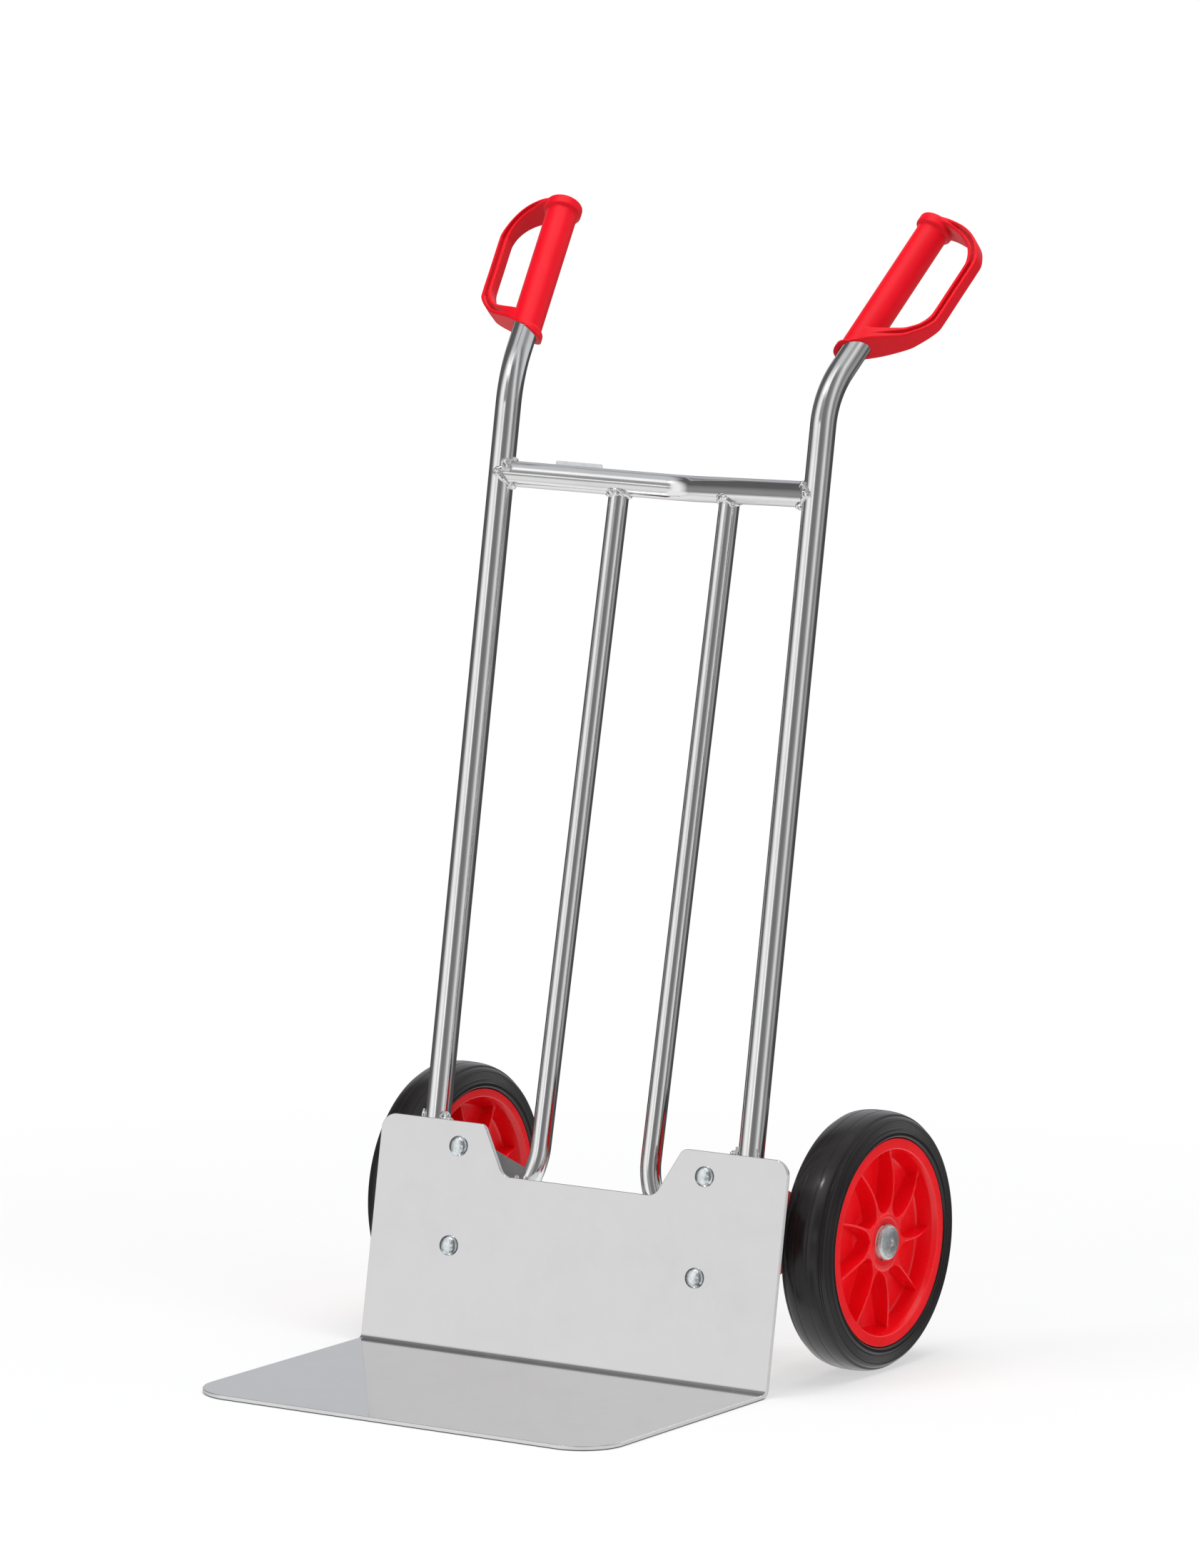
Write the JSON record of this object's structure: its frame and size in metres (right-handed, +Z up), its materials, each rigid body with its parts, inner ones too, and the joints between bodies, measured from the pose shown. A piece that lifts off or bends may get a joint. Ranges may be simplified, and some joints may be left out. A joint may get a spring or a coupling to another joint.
{
  "type": "hand truck",
  "caption": "Upright two-wheeled hand truck with a bent tube frame, a bolted toe plate, solid tyres on ribbed plastic rims and hand grips with guard loops.",
  "frame": {"origin": "centre of the bounding box at the floor: midway between the wheels, under the middle of the depth", "axes": "+Z up, -Y towards the load (the way the toe plate points), +X along the axle towards the right-hand side seen from the load"},
  "size_m": [0.5446, 0.6298, 1.0987],
  "materials": {
    "polished_aluminium": "polished extruded tube",
    "sheet_aluminium": "satin mill-finish sheet",
    "bracket_sheet": "plain satin zinc-plated sheet",
    "zinc_steel": "bright zinc plate",
    "turned_steel": "turned steel bar",
    "black_rubber": "moulded solid rubber",
    "red_rim_plastic": "glossy moulded plastic",
    "red_grip_plastic": "satin moulded plastic",
    "white_nylon": "natural nylon",
    "blank_label": "blank satin plastic"
  },
  "bodies": {
    "frame": {"axle": "turned_steel", "axle_bracket_left": "bracket_sheet", "axle_bracket_right": "bracket_sheet", "axle_cap_left": "zinc_steel", "axle_cap_right": "zinc_steel", "axle_spacer_left": "zinc_steel", "axle_spacer_right": "zinc_steel", "cross_tube": "polished_aluminium", "grip_left": "red_grip_plastic", "grip_right": "red_grip_plastic", "inner_tube_left": "polished_aluminium", "inner_tube_right": "polished_aluminium", "inner_washer_left": "zinc_steel", "inner_washer_right": "zinc_steel", "outer_washer_left": "zinc_steel", "outer_washer_right": "zinc_steel", "plate_bolt_left_lower": "zinc_steel", "plate_bolt_left_upper": "zinc_steel", "plate_bolt_right_lower": "zinc_steel", "plate_bolt_right_upper": "zinc_steel", "plate_nut_left_lower": "zinc_steel", "plate_nut_left_upper": "zinc_steel", "plate_nut_right_lower": "zinc_steel", "plate_nut_right_upper": "zinc_steel", "plate_washer_left_lower": "zinc_steel", "plate_washer_left_upper": "zinc_steel", "plate_washer_right_lower": "zinc_steel", "plate_washer_right_upper": "zinc_steel", "toe_plate": "sheet_aluminium", "type_plate": "blank_label", "upright_left": "polished_aluminium", "upright_right": "polished_aluminium"},
    "wheel_left": {"tyre_left": "black_rubber", "rim_left": "red_rim_plastic", "hub_bush_inner_left": "white_nylon", "hub_bush_outer_left": "white_nylon"},
    "wheel_right": {"tyre_right": "black_rubber", "rim_right": "red_rim_plastic", "hub_bush_inner_right": "white_nylon", "hub_bush_outer_right": "white_nylon"}
  },
  "joints": [
    {"name": "wheel_left_spin", "type": "hinge", "parent": "frame", "child": "wheel_left", "pos_m": [-0.2378, 0.1501, 0.125], "axis": [1, 0, 0], "continuous": true},
    {"name": "wheel_right_spin", "type": "hinge", "parent": "frame", "child": "wheel_right", "pos_m": [0.2378, 0.1501, 0.125], "axis": [1, 0, 0], "continuous": true}
  ]
}
